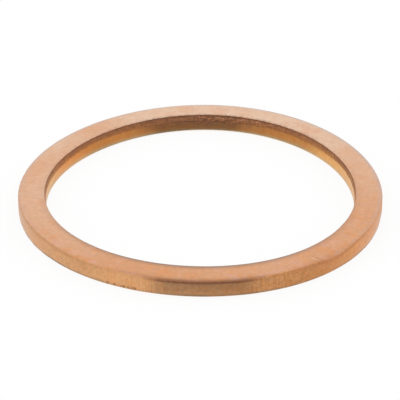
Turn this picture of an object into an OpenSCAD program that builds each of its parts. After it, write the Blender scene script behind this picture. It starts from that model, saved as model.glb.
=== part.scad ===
// Flat sealing ring, blanked from sheet copper. It lies on its lower face, centred on the Z axis.
// The punches for the bore and for the rim both enter at the lower face. What they leave standing is
// therefore rolled over at the top of the rim and at the bottom of the bore, and broken opposite.

/* [Ring] */
// Bore diameter
bore_d = 33; // [12:0.5:60]
// Width of the band between the bore and the rim
band_w = 3; // [2:0.1:8]
// Thickness of the sheet
thick = 2; // [1.6:0.1:3]

/* [Rim] */
// Width of the top face that is drawn down beside the cut
rim_roll_w = 0.9; // [0.6:0.05:1]
// Depth that it has sunk to where it would meet the wall
rim_roll_h = 0.18; // [0.1:0.02:0.36]
// Radius of the corner between the rolled face and the wall
rim_corner_r = 0.2; // [0.1:0.02:0.5]
// Height of the broken zone below the smooth wall
rim_break_h = 0.6; // [0.4:0.05:0.8]
// Distance that the broken zone leans in at the lower face
rim_break_in = 0.07; // [0.02:0.01:0.14]
// Radius of the deburred lower corner
rim_burr_r = 0.14; // [0.05:0.01:0.2]

/* [Bore] */
// Width of the lower face that is drawn up beside the bore
bore_roll_w = 0.5; // [0.35:0.05:0.8]
// Depth that it has sunk to where it would meet the bore
bore_roll_h = 0.12; // [0.04:0.01:0.16]
// Radius of the corner between the rolled face and the bore
bore_corner_r = 0.24; // [0.08:0.02:0.3]
// Height of the broken zone above the smooth bore
bore_break_h = 0.65; // [0.4:0.05:0.8]
// Distance that the broken zone opens out at the upper face
bore_break_in = 0.12; // [0.02:0.01:0.2]
// Radius of the deburred upper corner
bore_burr_r = 0.06; // [0.04:0.01:0.15]

/* [Hidden] */
// Flats that a full circle is drawn with
circle_steps = 240;
// Radii of the bore and of the rim
bore_r = bore_d / 2;
rim_r = bore_r + band_w;
// Amount that each rounding's circle is drawn too large, so that it crosses cleanly what it touches
overlap = 0.0001;

function direction(angle) = [cos(angle), sin(angle)];

// What a corner loses when it is rounded about a centre, between the two directions given, which
// are no more than 90 degrees apart
module rounding(centre, radius, from, to) {
    reach = 2 * radius;
    difference() {
        polygon([
            centre,
            centre + reach * direction(from),
            centre + reach * (direction(from) + direction(to)),
            centre + reach * direction(to)
        ]);
        translate(centre) circle(r = radius, $fn = circle_steps);
    }
}

// The three roundings of one blanked edge. Its wall stands on the Y axis, with the metal to the left,
// the rolled face at the top and the broken zone at the bottom.
module edge_roundings(roll_w, roll_h, corner_r, break_h, break_in, burr_r) {
    roll_r = (roll_w * roll_w + roll_h * roll_h) / (2 * roll_h);
    corner_rise = sqrt(pow(roll_r - corner_r, 2) - pow(roll_w - corner_r, 2));
    touch = atan2(corner_rise, roll_w - corner_r);
    lean = atan2(break_in, break_h);

    burr_x = -(break_h - burr_r) * tan(lean) - burr_r / cos(lean);

    rounding([-roll_w, thick - roll_r], roll_r + overlap, 90, 0);
    rounding([-corner_r, thick - roll_r + corner_rise], corner_r + 2 * overlap, touch, 0);
    rounding([burr_x, burr_r], burr_r + overlap, -lean, -90);
}

// Half of the ring cut through, to the right of the axis
module ring_section() {
    difference() {
        polygon([
            [bore_r, 0],
            [rim_r - rim_break_in, 0],
            [rim_r, rim_break_h],
            [rim_r, thick],
            [bore_r + bore_break_in, thick],
            [bore_r, thick - bore_break_h]
        ]);
        translate([rim_r, 0])
            edge_roundings(rim_roll_w, rim_roll_h, rim_corner_r,
                           rim_break_h, rim_break_in, rim_burr_r);
        translate([bore_r, thick]) rotate(180)
            edge_roundings(bore_roll_w, bore_roll_h, bore_corner_r,
                           bore_break_h, bore_break_in, bore_burr_r);
    }
}

module sealing_ring() {
    color([0.87, 0.66, 0.5])
        rotate_extrude($fn = circle_steps)
            ring_section();
}

sealing_ring();
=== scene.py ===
"""Looks for a flat copper sealing ring blanked from sheet: worked surfaces, finish, light and camera."""
import math

import bpy
import numpy as np
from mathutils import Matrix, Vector


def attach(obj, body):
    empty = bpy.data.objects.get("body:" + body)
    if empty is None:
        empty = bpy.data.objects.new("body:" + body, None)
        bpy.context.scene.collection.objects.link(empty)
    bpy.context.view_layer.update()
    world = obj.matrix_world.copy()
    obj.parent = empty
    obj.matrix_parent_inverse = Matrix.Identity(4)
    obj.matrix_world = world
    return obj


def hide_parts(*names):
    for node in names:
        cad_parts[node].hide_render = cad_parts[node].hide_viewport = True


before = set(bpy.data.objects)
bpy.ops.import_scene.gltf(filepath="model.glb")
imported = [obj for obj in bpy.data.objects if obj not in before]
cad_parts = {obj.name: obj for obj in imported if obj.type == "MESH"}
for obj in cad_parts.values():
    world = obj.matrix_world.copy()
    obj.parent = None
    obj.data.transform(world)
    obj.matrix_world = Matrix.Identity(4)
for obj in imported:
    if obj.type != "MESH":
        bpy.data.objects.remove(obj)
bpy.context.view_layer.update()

MM = 0.001

# Ring, in millimetres, as is all that follows up to the camera
BORE_R = 16.5
RIM_R = 19.5
THICK = 2.0
MIDDLE_R = (BORE_R + RIM_R) / 2
MIDDLE_H = THICK / 2

# Rim: the rolled face, its corner, and the zone that broke away below the sheared wall
RIM_ROLL_W = 0.9
RIM_ROLL_H = 0.18
RIM_CORNER_R = 0.2
RIM_BREAK_H = 0.6
RIM_BREAK_IN = 0.07
RIM_BURR_R = 0.14

# Bore: the same the other way up
BORE_ROLL_W = 0.5
BORE_ROLL_H = 0.12
BORE_CORNER_R = 0.24
BORE_BREAK_H = 0.65
BORE_BREAK_IN = 0.12
BORE_BURR_R = 0.06

# Steps round the ring, and along each stretch of its section
TURN_STEPS = 1200
ROLL_STEPS = 5
CORNER_STEPS = 6
BURR_STEPS = 3
RIM_WALL_STEPS = 22
BORE_WALL_STEPS = 26
UPPER_FACE_STEPS = 5
LOWER_FACE_STEPS = 3

# Seed of all random draws
SEED = 33

# Angles are in degrees round the ring from the X axis; what lies at one fades out over its spread

# Shallow swells that handling has left in the soft ring: how many, how high, and where one of them is
SWELLS = 3
SWELL = 0.2
SWELL_AT = 78.2

# Stretches where the rim's corner is rolled over less or more, as angle, spread and height that it gains,
# and the share of its drop from the upper face that a gain fills at most
CORNER_CHANGES = ((-147.0, 46.0, 0.11), (-60.0, 17.0, 0.25), (-44.0, 11.0, -0.2), (-21.0, 30.0, 0.26))
CORNER_ROOM = 0.85

# How far the edges of the broken zones wander, as a slow drift, a quick waver and a fine tearing, the
# steps that each of these is blurred over, and the height over which a broken zone sets in
RIM_WANDER = (0.08, 0.05, 0.03)
BORE_WANDER = (0.06, 0.02, 0.02)
WANDER_REACHES = (34, 5, 1.2)
EDGE_FADE = 0.06

# Depths of the tearing and the lumps where metal broke away, of the drag lines, which are deeper on
# patches of the rim, and of a slow waver in all surfaces
BORE_TORN = 0.012
BORE_LUMPS = 0.004
RIM_TORN = 0.004
RIM_LUMPS = 0.002
RIM_DRAG = 0.0010
RIM_PATCH_DRAG = 0.0030
BORE_DRAG = 0.0012
WAVER = 0.0010

# Row of nicks in the foot of the rim, as angle and strength. They reach as far up and down from their
# middle as that is high, and are at full depth close to it.
NICKS = ((-119.8, 0.8), (-117.4, 0.9), (-115.2, 0.4), (-114.3, 1.0), (-112.8, 0.8), (-111.6, 0.7),
         (-110.6, 0.9))
NICK_SPREAD = 0.65
NICK_H = 0.24
NICK_FULL = 0.09
NICK_DEPTH = 0.03

# Steepness of the surface, from 0 on a face to 1 on a wall, where a zone is full and where it is gone
WALL_STEEP = (0.9375, 0.3125)
DARK_CORNER_STEEP = (0.2 + 1 / 3, 0.2)
TORN_CORNER_STEEP = (0.1 + 1 / 3, 0.1)
RIM_GREY_STEEP = (0.3, 0.1)

# Stretches where a dark line is painted along the rim's corner as the reflection of a dark surround,
# as angle, spread and share, and the least and the most of it that shows at any angle
DARK_CORNERS = ((-89.5, 22.5, 2.0), (-140.0, 36.0, 0.22), (-38.0, 24.0, 0.27), (-170.0, 24.0, 0.12))
DARK_CORNER_LEAST = 0.04
DARK_CORNER_MOST = 0.72

# Depth below the upper face that the dark line reaches, and the height over which it fades in
DARK_CORNER_DEPTH = 0.57
DARK_CORNER_FADE = 0.24

# Stretch where the face sinks to the rim so softly that it is painted brown with shade well before the
# corner: how far in that reaches, and the heights on the wall where it is full and where it is gone
SLUMP_W = 0.9
SLUMP_HEIGHTS = (1.7, 0.85)
SLUMP_AT = -52.0
SLUMP_SPREAD = 16.0

# Stretches of the rim where the die has left plain drag lines, as angle, spread and share
DRAG_PATCHES = ((-104.5, 8.0, 1.0), (-70.0, 11.0, 1.0))

# Painted shade along the foot of the rim, where the broken zone was deburred and mirrors the floor's
# shadow, and the stretches where it is brighter, as angle, spread and share that they lose
FOOT_H = 0.42
BRIGHT_FEET = ((-113.0, 18.0, 0.7), (-50.0, 34.0, 0.7))

# Painted shade on the lower part of the rim's wall, darker and browner, with the heights where it is
# full and where it is gone
LOW_HEIGHTS = (0.48, 1.28)
LOW_AT = -58.0
LOW_SPREAD = 26.0

# Stretch where the rim's wall is pocked most
POCKED_AT = -63.0
POCKED_SPREAD = 13.0

# Painted grey reflection on the outer edge of the upper face, where it rolls away at the far side
RIM_GREY_AT = 80.0
RIM_GREY_SPREAD = 150.0

# Band on the upper face beside the bore, painted dark as shade where its edge turns away at the front,
# and the narrower, dull torn one on the other side
SHADED_LIP_W = 0.7
SHADED_LIP_AT = -90.0
LIP_SPREAD = 110.0
TORN_LIP_W = 0.4

# Dark line where the bore's broken zone starts
BRINK_H = 0.1
BRINK_AT = 77.0
BRINK_SPREAD = 62.0

# Band within the bore's broken zone painted paler, as light that it catches from above: depth of its
# middle below the upper face, and its reach
LAYER_DEPTH = 0.33
LAYER_REACH = 0.2
LAYER_AT = 79.0
LAYER_SPREAD = 34.0

# Scuffed zone that fades out below the bore's broken zone
SCUFF_H = 1.1
SCUFF_AT = 88.0
SCUFF_SPREAD = 42.0

# Stretch where the torn and scuffed metal in the bore is chipped in full, the share of that elsewhere,
# and the share of it that scuffed metal shows
CHIPPED_AT = 76.0
CHIPPED_SPREAD = 34.0
CHIPPED_ELSEWHERE = 0.4
CHIPPED_SCUFFS = 0.6

# Painted shading at the bore's foot for the ring's contact shadow, taller away from one place
BORE_FOOT_H = 0.55
BORE_FOOT_GAIN = 0.3
BORE_FOOT_AT = 90.0
BORE_FOOT_LOW_SPREAD = 70.0
BORE_FOOT_SPREAD = 180.0

# Camera, as the photograph's outlines place it. The lens and the sensor are in millimetres, and the
# rest is in metres.
CAMERA_DISTANCE = 0.2872
CAMERA_ELEVATION = math.radians(29.39)
CAMERA_AIM = Vector((-0.000137, 0.000194, 0.000345))
CAMERA_LENS = 240.16
CAMERA_SENSOR = 36
CAMERA_CLIP = 0.01


# Section of the ring

def arc(centre, radius, start, end, steps):
    """Points along an arc, from one angle to another in degrees, without its first point."""
    angles = np.radians(np.linspace(start, end, steps + 1)[1:])
    return np.stack([centre[0] + radius * np.cos(angles), centre[1] + radius * np.sin(angles)], 1)


def straight(start, end, steps):
    """Points along a straight line, without its first point."""
    share = np.linspace(0, 1, steps + 1)[1:, None]
    return np.asarray(start) * (1 - share) + np.asarray(end) * share


def blanked_edge(roll_w, roll_h, corner_r, break_h, break_in, burr_r, wall_steps):
    """One blanked edge, from the start of its roll down to the other face. Its wall stands on x = 0."""
    roll_r = (roll_w ** 2 + roll_h ** 2) / (2 * roll_h)
    rise = math.sqrt((roll_r - corner_r) ** 2 - (roll_w - corner_r) ** 2)
    touch = math.degrees(math.atan2(rise, roll_w - corner_r))
    lean = math.atan2(break_in, break_h)
    burr = (-(break_h - burr_r) * math.tan(lean) - burr_r / math.cos(lean), burr_r)
    corner = (-corner_r, THICK - roll_r + rise)
    rolled = arc((-roll_w, THICK - roll_r), roll_r, 90, touch, ROLL_STEPS)
    rounded = arc(corner, corner_r, touch, 0, CORNER_STEPS)
    deburred = arc(burr, burr_r, -math.degrees(lean), -90, BURR_STEPS)
    wall = straight(rounded[-1], (0, break_h), wall_steps // 2)
    broken = straight((0, break_h), deburred[0], wall_steps - wall_steps // 2)
    return np.concatenate([rolled, rounded, wall, broken, deburred[1:]])


def ring_section():
    """Closed section as (radius, height) in millimetres, clockwise from the upper face."""
    rim = blanked_edge(RIM_ROLL_W, RIM_ROLL_H, RIM_CORNER_R, RIM_BREAK_H, RIM_BREAK_IN, RIM_BURR_R,
                       RIM_WALL_STEPS)
    bore = blanked_edge(BORE_ROLL_W, BORE_ROLL_H, BORE_CORNER_R, BORE_BREAK_H, BORE_BREAK_IN, BORE_BURR_R,
                        BORE_WALL_STEPS)
    rim = rim + (RIM_R, 0)
    bore = np.array((BORE_R, THICK)) - bore
    upper = straight(bore[-1], (RIM_R - RIM_ROLL_W, THICK), UPPER_FACE_STEPS)
    lower = straight(rim[-1], (BORE_R + BORE_ROLL_W, 0), LOWER_FACE_STEPS)
    return np.concatenate([upper, rim, lower, bore])


def outward(section):
    """Unit normals of the closed section."""
    along = np.roll(section, -1, 0) - np.roll(section, 1, 0)
    normals = np.stack([-along[:, 1], along[:, 0]], 1)
    return normals / np.linalg.norm(normals, axis=1, keepdims=True)


# Shares and random fields

def faded(values, full, gone):
    """1 where the values have reached full, 0 where they have reached gone, and smooth between them."""
    share = np.clip((gone - values) / (gone - full), 0, 1)
    return share * share * (3 - 2 * share)


def near_angle(turn, angle, spread):
    """1 at an angle round the ring, with a smooth change to 0 at spread degrees from it."""
    away = np.abs((np.degrees(turn) - angle + 180) % 360 - 180)
    return faded(away, 0, spread)


def stretches(turn, entries):
    """Sum of stretches round the ring, each given as angle, spread and amount."""
    return sum(amount * near_angle(turn, angle, spread) for angle, spread, amount in entries)


def smoothed(values, turn_reach, row_reach=0.0):
    """Noise blurred round the ring and along its section, and brought back to a spread of one."""
    spectrum = np.fft.fft2(values)
    turn = np.fft.fftfreq(values.shape[0])[:, None] * 2 * math.pi * turn_reach
    row = np.fft.fftfreq(values.shape[1])[None, :] * 2 * math.pi * row_reach
    field = np.real(np.fft.ifft2(spectrum * np.exp(-0.5 * (turn ** 2 + row ** 2))))
    return field / field.std()


def ragged(rng, height, wander):
    """Height of a broken zone round the ring, which wanders by an amount for each reach."""
    lines = rng.standard_normal((3, TURN_STEPS, 1))
    return height + sum(amount * smoothed(line, reach)
                        for amount, line, reach in zip(wander, lines, WANDER_REACHES))


# Worked surfaces

def corner_gain(section, turn):
    """Height that the rim's corner gains at each point. The face and the wall below follow it."""
    radius, height = section[:, 0], section[:, 1]
    share = faded(radius, RIM_R, RIM_R - RIM_ROLL_W) * faded(height, THICK, RIM_BREAK_H)
    share = share / share.max()
    room = THICK - height
    return np.minimum(stretches(turn, CORNER_CHANGES) * share, CORNER_ROOM * room)


def nicks(turn, height):
    """Share of a nick at each point: a row of short cuts in the foot of the rim."""
    cuts = stretches(turn, [(angle, NICK_SPREAD, strength) for angle, strength in NICKS])
    return cuts * faded(np.abs(height - NICK_H), NICK_FULL, NICK_H)


def rim_zones(section, normals, turn):
    """Zones of the rim and of the upper face's outer edge, as a share from 0 to 1 at each point."""
    radius, height = section[:, 0], section[:, 1]
    steep = np.abs(normals[:, 0])
    outer = radius > MIDDLE_R
    rim = faded(steep, *WALL_STEEP) * outer
    foot_shading = faded(height, FOOT_H / 3, FOOT_H) * outer
    low = faded(height, *LOW_HEIGHTS) * outer
    slump_shade = faded(radius, RIM_R, RIM_R - SLUMP_W) * faded(height, *SLUMP_HEIGHTS)
    line_foot = THICK - DARK_CORNER_DEPTH
    corner = faded(steep, *DARK_CORNER_STEEP) * outer
    corner = corner * faded(height, line_foot + DARK_CORNER_FADE, line_foot)
    grey = faded(steep, *RIM_GREY_STEEP) * outer * (height > MIDDLE_H)
    # Zones for the low wall, foot, slump, corner line and grey outer edge carry painted shade and
    # reflection
    return {
        "rim": rim,
        "foot_shading": foot_shading * (1 - stretches(turn, BRIGHT_FEET)),
        "low": low * near_angle(turn, LOW_AT, LOW_SPREAD),
        "pocked": rim * near_angle(turn, POCKED_AT, POCKED_SPREAD),
        "dragged": rim * stretches(turn, DRAG_PATCHES),
        "nicked": nicks(turn, height) * outer,
        "slump_shade": slump_shade * near_angle(turn, SLUMP_AT, SLUMP_SPREAD),
        "corner": corner * np.clip(stretches(turn, DARK_CORNERS), DARK_CORNER_LEAST, DARK_CORNER_MOST),
        "rim_edge_reflection": grey * near_angle(turn, RIM_GREY_AT, RIM_GREY_SPREAD),
    }


def bore_zones(section, normals, turn):
    """Zones of the bore and of the upper face's inner edge, as a share from 0 to 1 at each point."""
    radius, height = section[:, 0], section[:, 1]
    inner = radius <= MIDDLE_R
    upper = height > MIDDLE_H
    bore = faded(np.abs(normals[:, 0]), *WALL_STEEP) * inner
    edge = BORE_R + BORE_BREAK_IN
    shaded_lip = faded(radius, edge, edge + SHADED_LIP_W) * upper
    torn_lip = faded(radius, edge, edge + TORN_LIP_W) * upper
    foot_h = BORE_FOOT_H + BORE_FOOT_GAIN * (1 - near_angle(turn, BORE_FOOT_AT, BORE_FOOT_LOW_SPREAD))
    foot_shading = faded(height, foot_h / 3, foot_h) * inner
    lit_layer = faded(np.abs(THICK - LAYER_DEPTH - height), 0, LAYER_REACH) * bore
    # The zones for the front lip, the bore's foot and the paler layer carry painted shade and light
    return {
        "bore": bore,
        "shaded_lip": shaded_lip * near_angle(turn, SHADED_LIP_AT, LIP_SPREAD),
        "torn_lip": torn_lip * near_angle(turn, SHADED_LIP_AT + 180, LIP_SPREAD),
        "bore_foot_shading": foot_shading * near_angle(turn, BORE_FOOT_AT, BORE_FOOT_SPREAD),
        "lit_layer": lit_layer * near_angle(turn, LAYER_AT, LAYER_SPREAD),
    }


def torn_zones(bore, broken, bore_depth, turn):
    """Zones in the bore that follow the ragged edge, from how far each point lies above that edge."""
    scuffed = faded(bore_depth, 0, -SCUFF_H) * bore * near_angle(turn, SCUFF_AT, SCUFF_SPREAD)
    brink = faded(np.abs(bore_depth), 0, BRINK_H) * bore * near_angle(turn, BRINK_AT, BRINK_SPREAD)
    most = near_angle(turn, CHIPPED_AT, CHIPPED_SPREAD)
    chipped = broken + CHIPPED_SCUFFS * scuffed
    chipped = chipped * (CHIPPED_ELSEWHERE + (1 - CHIPPED_ELSEWHERE) * most)
    return {"scuffed": scuffed, "brink": brink, "chipped": chipped}


def broken_zone(depth, lean, plain_depth):
    """How much of the metal broke away at each point, and how much further in it lies for that.

    The depths are measured along the wall, from the ragged edge and from the plain one.
    """
    extra = lean * (np.maximum(depth, 0) - np.maximum(plain_depth, 0))
    return faded(depth, EDGE_FADE, 0), extra


def worked_surface(section, normals, turn):
    """How far in from the plain section each point lies, in millimetres, and the zones of the surface."""
    rng = np.random.default_rng(SEED)
    shape = (TURN_STEPS, len(section))
    height = section[:, 1]
    zones = rim_zones(section, normals, turn) | bore_zones(section, normals, turn)
    rim, bore = zones["rim"], zones["bore"]

    rim_depth = ragged(rng, RIM_BREAK_H, RIM_WANDER) - height
    bore_depth = height - (THICK - ragged(rng, BORE_BREAK_H, BORE_WANDER))
    rim_mask, rim_extra = broken_zone(rim_depth, RIM_BREAK_IN / RIM_BREAK_H, RIM_BREAK_H - height)
    bore_mask, bore_extra = broken_zone(bore_depth, BORE_BREAK_IN / BORE_BREAK_H,
                                        height - THICK + BORE_BREAK_H)
    rim_broken = rim_mask * rim
    bore_broken = bore_mask * bore
    whole = 1 - (rim_broken + bore_broken)

    # The fields are lifted so that they hardly go below 0, because working only takes metal away
    torn = np.maximum(smoothed(rng.standard_normal(shape), 1.3, 1.0) + 0.6, 0)
    lumps = smoothed(rng.standard_normal(shape), 4.0, 2.5) + 2.5
    drag = smoothed(rng.standard_normal((TURN_STEPS, 1)), 1.4) + 2.2
    patch = faded(smoothed(rng.standard_normal((TURN_STEPS, 1)), 40), 1, -1)
    waver = smoothed(rng.standard_normal(shape), 50, 3) + 2.5

    depth = rim_extra * rim + bore_extra * bore
    depth = depth + bore_broken * (BORE_TORN * torn + BORE_LUMPS * lumps)
    depth = depth + rim_broken * (RIM_TORN * torn + RIM_LUMPS * lumps)
    depth = depth + whole * rim * (RIM_DRAG + RIM_PATCH_DRAG * patch) * drag
    depth = depth + whole * bore * BORE_DRAG * drag
    depth = depth + WAVER * waver + NICK_DEPTH * zones["nicked"]

    # For the finish, the torn upper corner counts as bore and as broken too
    zones = zones | torn_zones(bore, bore_broken, bore_depth, turn)
    inner = (section[:, 0] <= MIDDLE_R) * (height > MIDDLE_H)
    zones["bore"] = np.maximum(bore, faded(np.abs(normals[:, 0]), *TORN_CORNER_STEEP) * inner)
    zones["broken"] = bore_mask * zones["bore"]
    return depth, zones


def ring_mesh():
    """The ring with its worked surfaces, as one closed mesh of quads, and the names of its zones."""
    section = ring_section()
    normals = outward(section)
    turn = np.arange(TURN_STEPS)[:, None] * 2 * math.pi / TURN_STEPS
    depth, zones = worked_surface(section, normals, turn)
    swell = SWELL * np.cos(SWELLS * (turn - math.radians(SWELL_AT)))
    radius = section[:, 0] - depth * normals[:, 0] + swell
    height = section[:, 1] - depth * normals[:, 1] + corner_gain(section, turn)
    points = np.stack([radius * np.cos(turn), radius * np.sin(turn), height], 2) * MM

    rows = len(section)
    i, j = np.meshgrid(np.arange(TURN_STEPS), np.arange(rows), indexing="ij")
    i_next, j_next = (i + 1) % TURN_STEPS, (j + 1) % rows
    quads = np.stack([i * rows + j, i * rows + j_next, i_next * rows + j_next, i_next * rows + j], 2)

    mesh = bpy.data.meshes.new("sealing_ring_worked")
    mesh.from_pydata(points.reshape(-1, 3).tolist(), [], quads.reshape(-1, 4).tolist())
    mesh.shade_smooth()
    for name, share in zones.items():
        share = np.broadcast_to(share, depth.shape).astype(np.float32)
        mesh.attributes.new(name, "FLOAT", "POINT").data.foreach_set("value", share.ravel())
    return mesh, list(zones)


# Finish

WARM_FACE = (0.70, 0.352, 0.180, 1)
PALE_FACE_SHEEN = (0.78, 0.54, 0.385, 1)
ORANGE_BLOTCH = (0.74, 0.335, 0.145, 1)
PINK_BLOTCH = (0.72, 0.385, 0.25, 1)
# Dull torn metal by the bore at the back, and painted shade on the bore's edge at the front
DULL_AND_SHADED_LIP = (0.28, 0.18, 0.135, 1)
GREY_EDGE_REFLECTION = (0.54, 0.415, 0.37, 1)
RIM_ORANGE = (0.69, 0.30, 0.108, 1)
RIM_TAN = (0.71, 0.375, 0.175, 1)
RIM_LOW_SHADE = (0.50, 0.205, 0.06, 1)
BORE_AMBER = (0.74, 0.287, 0.073, 1)
BORE_GOLD_REFLECTION = (0.78, 0.405, 0.125, 1)
SCUFFED_BROWN = (0.42, 0.20, 0.11, 1)
BROKEN_BROWN = (0.40, 0.188, 0.094, 1)
# Brown of the dark edge lines; along the rim's corner it is a painted reflection
EDGE_BROWN = (0.27, 0.10, 0.055, 1)
SLUMP_SHADE = (0.48, 0.17, 0.075, 1)
LIT_LAYER_PALE = (0.68, 0.36, 0.19, 1)
FOOT_SHADE = (0.34, 0.215, 0.12, 1)
FOOT_GOLD_SHADING = (0.62, 0.41, 0.20, 1)
NICK_SHADE = (0.27, 0.12, 0.05, 1)
SCRATCH_HIGHLIGHT = (0.80, 0.50, 0.30, 1)
SCRATCH_SHADE = (0.40, 0.18, 0.08, 1)

# Shares at which marks show at most
LOW_SHADE_SHARE = 0.3
SLUMP_SHADE_SHARE = 0.38
SCRATCH_SHARE = 0.65
BRINK_SHARE = 0.6
BORE_CORNER_SHARE = 0.7

# How much each texture lightens and darkens the colour, and what the pocked stretch adds to the pocks
ROLLED_TONE = 0.025
DRAGGED_TONE = 0.09
CHIPPED_TONE = 0.2
POCKED_TONE = 0.055
POCKED_GAIN = 0.8
GRAIN_TONE = 0.045

# Roughness across the rolling lines, and what torn metal adds to it
ROUGHNESS = (0.33, 0.38)
TORN_ROUGHNESS = 0.3

# Depths of the bump, in millimetres
ROLLED_BUMP = 0.008
DRAGGED_BUMP = 0.010
TORN_BUMP = 0.05
GRAIN_BUMP = 0.004

# Angle between the rolling lines and the X axis
ROLLING_TURN = math.radians(9)

# Short scratch in the face beside the rim, painted as a highlight on one flank and a shadow beside it:
# the centres of its painted highlight and of its painted shadow, its angle to the X axis, and its reach
# along and across
SCRATCH = (11.72, -15.12, THICK)
SCRATCH_SHADOW = (11.92, -14.86, THICK)
SCRATCH_TURN = math.radians(-33)
SCRATCH_REACH = (1.3, 0.13, 1.0)

# Places where the face's painted pale sheen, which stands for light from the far side, is thicker or
# thinner, as centre, reach and amount, and the power by which the sheen keeps to the far side
SHEEN_PATCHES = (((-16.0, -8.0, 2.0), 14.0, 0.38), ((13.0, 12.0, 2.0), 10.0, 0.08),
                 ((-12.0, 14.0, 2.0), 8.0, -0.45), ((16.0, -5.0, 2.0), 7.0, -0.15))
SHEEN_POWER = 1.7

# Where the blotches in the face set in, measured along Y
BLOTCHES_FROM = 6.0

# Where the bore's amber starts to turn to a painted gold reflection, measured along X, at the left end
# and at the right
GOLD_REFLECTION_FROM = (-15.0, 8.0)

# Depths below the upper face where the broken zone is darkest, and where the bore's dark corner is gone
# and full
BROKEN_DARK_DEPTH = 0.35
BORE_CORNER_GONE = 0.22
BORE_CORNER_FULL = 0.02


class Nodes:
    """A node tree, with short ways to add a node and join it to what feeds it."""

    def __init__(self, tree):
        self.tree = tree
        tree.nodes.clear()

    def add(self, kind, feeds=None, **settings):
        """A new node. Each feed is a value for the socket with that name or number, or a link to it."""
        node = self.tree.nodes.new(kind)
        for name, value in settings.items():
            setattr(node, name, value)
        for socket, value in (feeds or {}).items():
            if isinstance(value, bpy.types.NodeSocket):
                self.tree.links.new(value, node.inputs[socket])
            else:
                node.inputs[socket].default_value = value
        return node

    def maths(self, operation, a, b, c=0.0):
        return self.add("ShaderNodeMath", {0: a, 1: b, 2: c}, operation=operation).outputs[0]

    def plus(self, a, b):
        return self.maths("ADD", a, b)

    def times(self, a, b):
        return self.maths("MULTIPLY", a, b)

    def attribute(self, name):
        return self.add("ShaderNodeAttribute", attribute_name=name).outputs["Fac"]

    def along(self, place, axis):
        return self.add("ShaderNodeSeparateXYZ", {0: place}).outputs[axis]

    def noise(self, place, scale, detail, stretch=(1, 1, 1), turned=0.0):
        if turned:
            place = self.add("ShaderNodeMapping", {"Vector": place, "Rotation": (0, 0, turned)}).outputs[0]
        place = self.add("ShaderNodeMapping", {"Vector": place, "Scale": stretch}).outputs[0]
        feeds = {"Vector": place, "Scale": scale, "Detail": detail}
        return self.add("ShaderNodeTexNoise", feeds).outputs["Fac"]

    def ranged(self, value, low, high, out_low=0.0, out_high=1.0):
        """Takes a value from one range to another, with a smooth start and end."""
        feeds = {"Value": value, "From Min": low, "From Max": high, "To Min": out_low, "To Max": out_high}
        return self.add("ShaderNodeMapRange", feeds, interpolation_type="SMOOTHSTEP").outputs[0]

    def varied(self, value, low, high, amount):
        """Takes a value from a range to one that lies evenly about 0."""
        return self.ranged(value, low, high, -amount, amount)

    def near(self, place, centre, reach, amount):
        """The amount at a centre, and nothing further from it than its reach."""
        away = self.add("ShaderNodeVectorMath", {0: place, 1: centre}, operation="DISTANCE")
        return self.ranged(away.outputs["Value"], 0.0, reach, amount, 0.0)

    def mark(self, place, centre, turned, reach):
        """1 at the centre of a mark, and nothing outside its ellipse, which is turned about Z."""
        feeds = {"Vector": place, "Location": centre, "Rotation": (0, 0, turned), "Scale": reach}
        spot = self.add("ShaderNodeMapping", feeds, vector_type="TEXTURE").outputs[0]
        return self.near(spot, (0.0, 0.0, 0.0), 1.0, 1.0)

    def blend(self, share, a, b, kind="MIX"):
        """Blends two colours. The node keeps its sockets for colours at 6 and 7."""
        feeds = {0: share, 6: a, 7: b}
        return self.add("ShaderNodeMix", feeds, data_type="RGBA", blend_type=kind).outputs[2]


def new_material(name):
    """A material with an empty node tree."""
    material = bpy.data.materials.new(name)
    material.use_nodes = True
    return material, Nodes(material.node_tree)


def face_colour(nodes, place, zones):
    """Cold-rolled face: warm and pink blotches, a dull torn lip, and painted shade and reflections at its
    edges, a painted sheen that thickens towards one side and a scratch painted as highlight and shadow.
    """
    across = nodes.along(place, "Y")
    side = nodes.ranged(across, -RIM_R, RIM_R)
    clouds = nodes.varied(nodes.noise(place, 0.16, 3.0), 0.3, 0.7, 0.12)
    sheen = nodes.plus(nodes.maths("POWER", side, SHEEN_POWER), clouds)
    for centre, reach, amount in SHEEN_PATCHES:
        sheen = nodes.plus(sheen, nodes.near(place, centre, reach, amount))
    sheen = nodes.maths("MINIMUM", nodes.maths("MAXIMUM", sheen, 0.0), 1.0)
    # Painted pale sheen towards the far side, uneven in patches
    colour = nodes.blend(sheen, WARM_FACE, PALE_FACE_SHEEN)

    front = nodes.ranged(across, BLOTCHES_FROM, -RIM_R, 0.25, 0.85)
    warm = nodes.ranged(nodes.noise(place, 0.8, 3.0, (0.9, 1.1, 1.0)), 0.48, 0.66)
    colour = nodes.blend(nodes.times(warm, front), colour, ORANGE_BLOTCH)
    cool = nodes.ranged(nodes.noise(place, 0.9, 2.0, (0.9, 1.1, 2.0)), 0.5, 0.66)
    colour = nodes.blend(nodes.times(cool, front), colour, PINK_BLOTCH)

    # Painted grey reflection on the outer edge of the face at the far side
    colour = nodes.blend(zones["rim_edge_reflection"], colour, GREY_EDGE_REFLECTION)
    teeth = nodes.ranged(nodes.noise(place, 3.0, 3.0), 0.42, 0.6, 0.2, 1.0)
    colour = nodes.blend(nodes.times(zones["torn_lip"], teeth), colour, DULL_AND_SHADED_LIP)
    # Painted shade on the upper face beside the bore, at the front
    colour = nodes.blend(zones["shaded_lip"], colour, DULL_AND_SHADED_LIP)

    # Scratch painted as a shadow and a highlight
    shade = nodes.mark(place, SCRATCH_SHADOW, SCRATCH_TURN, SCRATCH_REACH)
    colour = nodes.blend(nodes.times(shade, SCRATCH_SHARE), colour, SCRATCH_SHADE)
    lit_flank = nodes.mark(place, SCRATCH, SCRATCH_TURN, SCRATCH_REACH)
    return nodes.blend(nodes.times(lit_flank, SCRATCH_SHARE), colour, SCRATCH_HIGHLIGHT)


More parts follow.
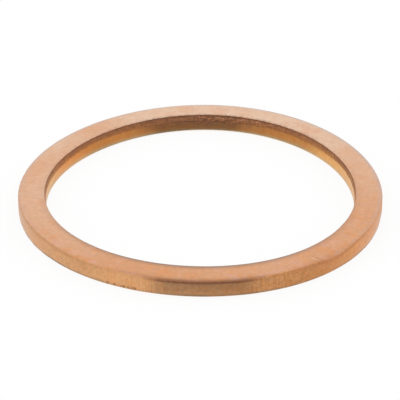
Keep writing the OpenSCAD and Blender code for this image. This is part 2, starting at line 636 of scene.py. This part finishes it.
def wall_colour(nodes, place, zones):
    """Sheared walls: orange to tan on the rim, amber in the bore with a painted gold reflection at its
    ends, and painted shading low on the rim, at their feet and in the nicks.
    """
    across = nodes.along(place, "X")
    mottle = nodes.varied(nodes.noise(place, 1.4, 3.0), 0.35, 0.65, 0.2)
    tan = nodes.ranged(across, RIM_R, -RIM_R)
    rim = nodes.blend(nodes.plus(tan, mottle), RIM_ORANGE, RIM_TAN)
    # Painted shade on the lower part of the rim's wall
    rim = nodes.blend(nodes.times(zones["low"], LOW_SHADE_SHARE), rim, RIM_LOW_SHADE)
    foot_patches = nodes.ranged(nodes.noise(place, 0.35, 2.0), 0.4, 0.6, 0.55, 0.9)
    # Painted shade along the rim's foot, patchy
    rim = nodes.blend(nodes.times(zones["foot_shading"], foot_patches), rim, FOOT_SHADE)

    # Painted gold reflection towards the bore's ends
    left, right = GOLD_REFLECTION_FROM
    ends = nodes.plus(nodes.ranged(across, right, BORE_R), nodes.ranged(across, left, -BORE_R))
    bore = nodes.blend(nodes.plus(ends, mottle), BORE_AMBER, BORE_GOLD_REFLECTION)
    colour = torn_colour(nodes, place, zones, nodes.blend(zones["bore"], rim, bore))
    # Painted shading at the bore's foot, for the ring's contact shadow
    colour = nodes.blend(zones["bore_foot_shading"], colour, FOOT_GOLD_SHADING)
    # The nicks are painted dark as the shade inside them
    return nodes.blend(zones["nicked"], colour, NICK_SHADE)


def torn_colour(nodes, place, zones, colour):
    """The walls' colour with the bore's scuffed and broken metal, its dark lines and a band of painted
    light.
    """
    height = nodes.along(place, "Z")
    streaks = nodes.noise(place, 1.0, 3.0, (0.9, 0.9, 6.0))
    flecks = nodes.noise(place, 2.6, 3.0)
    scuffs = nodes.ranged(flecks, 0.35, 0.65, 0.85, 0.35)
    colour = nodes.blend(nodes.times(zones["scuffed"], scuffs), colour, SCUFFED_BROWN)

    dark = nodes.ranged(nodes.plus(streaks, flecks), 0.8, 1.25, 1.0, 0.7)
    upper = nodes.ranged(height, THICK - BORE_BREAK_H, THICK - BROKEN_DARK_DEPTH, 0.65, 1.0)
    dark = nodes.times(dark, upper)
    colour = nodes.blend(nodes.times(zones["broken"], dark), colour, BROKEN_BROWN)
    colour = nodes.blend(nodes.times(zones["brink"], BRINK_SHARE), colour, EDGE_BROWN)

    corner = nodes.ranged(height, THICK - BORE_CORNER_GONE, THICK - BORE_CORNER_FULL)
    corner = nodes.times(corner, zones["bore"])
    colour = nodes.blend(nodes.times(corner, BORE_CORNER_SHARE), colour, EDGE_BROWN)
    lit_patches = nodes.ranged(nodes.noise(place, 1.2, 3.0, (1.0, 1.0, 3.0)), 0.38, 0.6, 0.15, 0.7)
    # Band painted paler as light caught from above
    return nodes.blend(nodes.times(zones["lit_layer"], lit_patches), colour, LIT_LAYER_PALE)


def soft_copper(zone_names):
    """Annealed copper: cold-rolled faces, sheared walls dragged smooth, and torn where it broke."""
    material, nodes = new_material("soft_copper")
    place = nodes.add("ShaderNodeTexCoord").outputs["Object"]
    place = nodes.add("ShaderNodeVectorMath", {0: place, "Scale": 1 / MM}, operation="SCALE").outputs[0]
    zones = {name: nodes.attribute(name) for name in zone_names}
    wall = nodes.plus(zones["rim"], zones["bore"])
    face = nodes.maths("SUBTRACT", 1.0, wall)

    grain = nodes.noise(place, 2.4, 4.0)
    rolled = nodes.noise(place, 1.0, 3.0, (0.6, 3.0, 1.0), ROLLING_TURN)
    dragged = nodes.noise(place, 1.0, 1.0, (6.0, 6.0, 0.3))
    torn = nodes.noise(place, 4.2, 5.0)
    pocks = nodes.noise(place, 3.2, 3.0, (1.0, 1.0, 1.2))

    colour = nodes.blend(wall, face_colour(nodes, place, zones), wall_colour(nodes, place, zones))
    # Painted brown shade where the face sinks softly to the rim
    colour = nodes.blend(nodes.times(zones["slump_shade"], SLUMP_SHADE_SHARE), colour, SLUMP_SHADE)
    # Dark line painted along the rim's corner, as the reflection of a dark surround
    colour = nodes.blend(zones["corner"], colour, EDGE_BROWN)

    across = nodes.times(nodes.varied(rolled, 0.3, 0.7, ROLLED_TONE), face)
    down = nodes.times(nodes.varied(dragged, 0.35, 0.65, DRAGGED_TONE), zones["dragged"])
    chips = nodes.times(nodes.varied(torn, 0.35, 0.65, CHIPPED_TONE), zones["chipped"])
    pocked = nodes.maths("MULTIPLY_ADD", zones["pocked"], POCKED_GAIN, zones["rim"])
    pits = nodes.times(nodes.varied(pocks, 0.38, 0.62, POCKED_TONE), pocked)
    fine = nodes.ranged(grain, 0.3, 0.7, 1 - GRAIN_TONE, 1 + GRAIN_TONE)
    tone = nodes.plus(nodes.plus(across, down), nodes.plus(fine, nodes.plus(chips, pits)))
    tone = nodes.add("ShaderNodeCombineColor", {0: tone, 1: tone, 2: tone}).outputs[0]
    colour = nodes.blend(1.0, colour, tone, "MULTIPLY")

    roughness = nodes.ranged(rolled, 0.3, 0.7, *ROUGHNESS)
    roughness = nodes.plus(roughness, nodes.times(zones["broken"], TORN_ROUGHNESS))

    lines = nodes.times(nodes.times(rolled, face), ROLLED_BUMP)
    drags = nodes.times(nodes.times(dragged, wall), DRAGGED_BUMP)
    tears = nodes.times(nodes.times(torn, zones["broken"]), TORN_BUMP)
    skin = nodes.times(grain, GRAIN_BUMP)
    height = nodes.plus(nodes.plus(lines, drags), nodes.plus(tears, skin))
    normal = nodes.add("ShaderNodeBump", {"Height": height, "Distance": MM, "Strength": 1.0}).outputs[0]

    feeds = {"Base Color": colour, "Roughness": roughness, "Normal": normal, "Metallic": 1.0}
    metal = nodes.add("ShaderNodeBsdfPrincipled", feeds).outputs[0]
    nodes.add("ShaderNodeOutputMaterial", {"Surface": metal})
    return material


def make_ring():
    """The worked ring, which stands for the plain one."""
    mesh, zone_names = ring_mesh()
    mesh.materials.append(soft_copper(zone_names))
    ring = bpy.data.objects.new("sealing_ring_worked", mesh)
    bpy.context.scene.collection.objects.link(ring)
    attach(ring, "root")
    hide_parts("sealing_ring")


# Stage

WHITE = (1, 1, 1, 1)

# Floor: half its width, in metres, how far it lies below the ring, in millimetres, its tone, and the
# share of plain white that the camera and reflections see in it
FLOOR_HALF = 1.5
FLOOR_DROP = 0.02
FLOOR_COLOUR = (0.9, 0.9, 0.9, 1)
FLOOR_WHITE = 0.9

# Cards that only the metal sees, which stand for the camera's side of the light tent. Angles are in
# degrees from the front, rises are in degrees above the floor, and a tone is 0 where it is dark and 1
# where it is white. Lying cards lie a little below the ring, and have their radii in millimetres with the
# share by which each lightens the tones. A negative radius lies behind the axis.
CARD_DARK = (0.0, 0.05, 0.2, 1)
LYING_COLUMNS = 161
LYING_DROP = 0.01
STANDING_COLUMNS = 65
STANDING_ROWS = 33

BEFORE_RING_RADII = ((19.4, 0.33), (20.5, 0.2), (22.5, 0.0), (140, 0.0))
BEFORE_RING_TONES = ((-115, 1.0), (-90, 0.85), (-75, 0.92), (-56, 0.9), (-42, 0.84), (-30, 0.98),
                     (-20, 0.98), (-15, 0.68), (-11.5, 0.44), (13.5, 0.44), (20, 0.72), (29, 0.74),
                     (40, 0.76), (51, 0.86), (63, 1.0), (75, 0.95), (90, 0.85), (115, 1.0))

INSIDE_RING_RADII = ((-16.55, 0.0), (-6, 0.0))
INSIDE_RING_TONES = ((-70, 1.0), (-60, 1.0), (-50, 0.98), (-40, 0.67), (-31, 0.67), (-22.5, 0.59),
                     (-15, 0.5), (-12, 0.3), (15.5, 0.3), (19, 0.5), (23.5, 0.65), (32, 0.71),
                     (41, 0.66), (52, 0.9), (62, 1.0), (70, 1.0))

# Standing cards: distance in metres, tones, and the share of them that shows at each rise
BEFORE_CAMERA_DISTANCE = 0.14
BEFORE_CAMERA_TONES = ((-60, 1.0), (-36, 0.9), (-23, 0.2), (22, 0.15), (33, 0.9), (60, 1.0))
BEFORE_CAMERA_RISES = ((0, 1.0), (10, 1.0), (18, 0.3), (28, 0.0))

ABOVE_DISTANCE = 0.15
ABOVE_TONES = ((-180, 0.5), (180, 0.5))
ABOVE_RISES = ((60, 0.0), (72, 1.0), (90, 1.0))


def seen_as_background(nodes):
    """1 where a surface is looked at by the camera, in a reflection or through glass."""
    path = nodes.add("ShaderNodeLightPath")
    seen = nodes.maths("MAXIMUM", path.outputs["Is Camera Ray"], path.outputs["Is Glossy Ray"])
    return nodes.maths("MAXIMUM", seen, path.outputs["Is Transmission Ray"])


def make_floor():
    """A white floor that keeps a faint shadow of the ring."""
    mesh = bpy.data.meshes.new("floor")
    corners = [(x * FLOOR_HALF, y * FLOOR_HALF, 0) for x, y in ((-1, -1), (1, -1), (1, 1), (-1, 1))]
    mesh.from_pydata(corners, [], [(0, 1, 2, 3)])
    floor = bpy.data.objects.new("floor", mesh)
    floor.location.z = -FLOOR_DROP * MM
    bpy.context.scene.collection.objects.link(floor)
    material, nodes = new_material("white_floor")
    lit = nodes.add("ShaderNodeBsdfDiffuse", {"Color": FLOOR_COLOUR}).outputs[0]
    white = nodes.add("ShaderNodeEmission", {"Color": WHITE, "Strength": 1.0}).outputs[0]
    share = nodes.times(seen_as_background(nodes), FLOOR_WHITE)
    mixed = nodes.add("ShaderNodeMixShader", {0: share, 1: lit, 2: white}).outputs[0]
    nodes.add("ShaderNodeOutputMaterial", {"Surface": mixed})
    mesh.materials.append(material)


def card_material():
    """Grey card: dark and a little blue where its tone is 0, and white where it is 1."""
    material, nodes = new_material("grey_card")
    colour = nodes.blend(nodes.attribute("tone"), CARD_DARK, WHITE)
    glow = nodes.add("ShaderNodeEmission", {"Color": colour, "Strength": 1.0}).outputs[0]
    nodes.add("ShaderNodeOutputMaterial", {"Surface": glow})
    return material


def make_card(name, points, tones, material):
    """A card that only the metal sees. points and tones are grids, in metres and from 0 to 1."""
    rows, columns = tones.shape
    quads = [(r * columns + c, r * columns + c + 1, (r + 1) * columns + c + 1, (r + 1) * columns + c)
             for r in range(rows - 1) for c in range(columns - 1)]
    mesh = bpy.data.meshes.new(name)
    mesh.from_pydata(points.reshape(-1, 3).tolist(), [], quads)
    tone = mesh.attributes.new("tone", "FLOAT", "POINT")
    tone.data.foreach_set("value", np.ascontiguousarray(tones, np.float32).ravel())
    mesh.materials.append(material)
    card = bpy.data.objects.new(name, mesh)
    bpy.context.scene.collection.objects.link(card)
    card.visible_camera = False
    card.visible_diffuse = False
    card.visible_transmission = False
    card.visible_shadow = False


def lying_card(name, radii, tones, material):
    """A card on the floor, as its radii with their lightening and its angles with their tones."""
    ends, lightening = np.array(radii).T[:, :, None]
    angles, tones = zip(*tones)
    fine = np.linspace(angles[0], angles[-1], LYING_COLUMNS)
    shade = np.interp(fine, angles, tones)[None, :]
    shade = shade + (1 - shade) * lightening
    turn = np.radians(fine - 90)
    below = np.full(shade.shape, -LYING_DROP)
    points = np.stack([ends * np.cos(turn), ends * np.sin(turn), below], 2) * MM
    make_card(name, points, shade, material)


def standing_card(name, distance, tones, rises, material):
    """A curved card round the ring, as its angles with their tones and its rises with their shares."""
    angles, tones = zip(*tones)
    rises, shares = zip(*rises)
    fine = np.linspace(angles[0], angles[-1], STANDING_COLUMNS)
    up = np.linspace(rises[0], rises[-1], STANDING_ROWS)
    shade = 1 - (1 - np.interp(fine, angles, tones))[None, :] * np.interp(up, rises, shares)[:, None]
    turn, lift = np.radians(fine - 90)[None, :], np.radians(up)[:, None]
    flat = distance * np.cos(lift)
    high = np.broadcast_to(distance * np.sin(lift), shade.shape)
    points = np.stack([flat * np.cos(turn), flat * np.sin(turn), high], 2)
    make_card(name, points, shade, material)


def make_cards():
    """The camera's side of the light tent, which the walls of the ring mirror as a darker band."""
    grey = card_material()
    lying_card("card_before_ring", BEFORE_RING_RADII, BEFORE_RING_TONES, grey)
    lying_card("card_inside_ring", INSIDE_RING_RADII, INSIDE_RING_TONES, grey)
    standing_card("card_before_camera", BEFORE_CAMERA_DISTANCE, BEFORE_CAMERA_TONES, BEFORE_CAMERA_RISES,
                  grey)
    standing_card("card_above", ABOVE_DISTANCE, ABOVE_TONES, ABOVE_RISES, grey)


def make_lamp(name, place, aim, size, power, colour):
    """A square soft lamp. Lengths are in metres and the power is in watts."""
    data = bpy.data.lights.new(name, "AREA")
    data.size = size
    data.energy = power
    data.color = colour
    lamp = bpy.data.objects.new(name, data)
    lamp.location = place
    lamp.rotation_euler = (Vector(aim) - Vector(place)).to_track_quat("-Z", "Y").to_euler()
    lamp.visible_camera = False
    bpy.context.scene.collection.objects.link(lamp)


def make_light():
    """A white tent all round, and a soft lamp above."""
    world = bpy.data.worlds.new("white_tent")
    world.use_nodes = True
    bpy.context.scene.world = world
    nodes = Nodes(world.node_tree)
    tent = nodes.add("ShaderNodeBackground", {"Color": WHITE, "Strength": 1.0}).outputs[0]
    nodes.add("ShaderNodeOutputWorld", {"Surface": tent})
    make_lamp("lamp_above", place=(-0.05, 0.02, 0.35), aim=(0, 0, 0), size=0.3, power=0.15,
              colour=(1.0, 1.0, 1.0))


def make_camera():
    """The photograph's view: straight from the front and from above, through a long lens."""
    data = bpy.data.cameras.new("camera")
    data.lens = CAMERA_LENS
    data.sensor_width = CAMERA_SENSOR
    data.clip_start = CAMERA_CLIP
    camera = bpy.data.objects.new("camera", data)
    back = Vector((0, -math.cos(CAMERA_ELEVATION), math.sin(CAMERA_ELEVATION)))
    camera.location = CAMERA_AIM + CAMERA_DISTANCE * back
    camera.rotation_euler = (math.pi / 2 - CAMERA_ELEVATION, 0, 0)
    bpy.context.scene.collection.objects.link(camera)
    bpy.context.scene.camera = camera


make_camera()
make_ring()
make_floor()
make_cards()
make_light()
bpy.context.scene.view_settings.view_transform = "Standard"
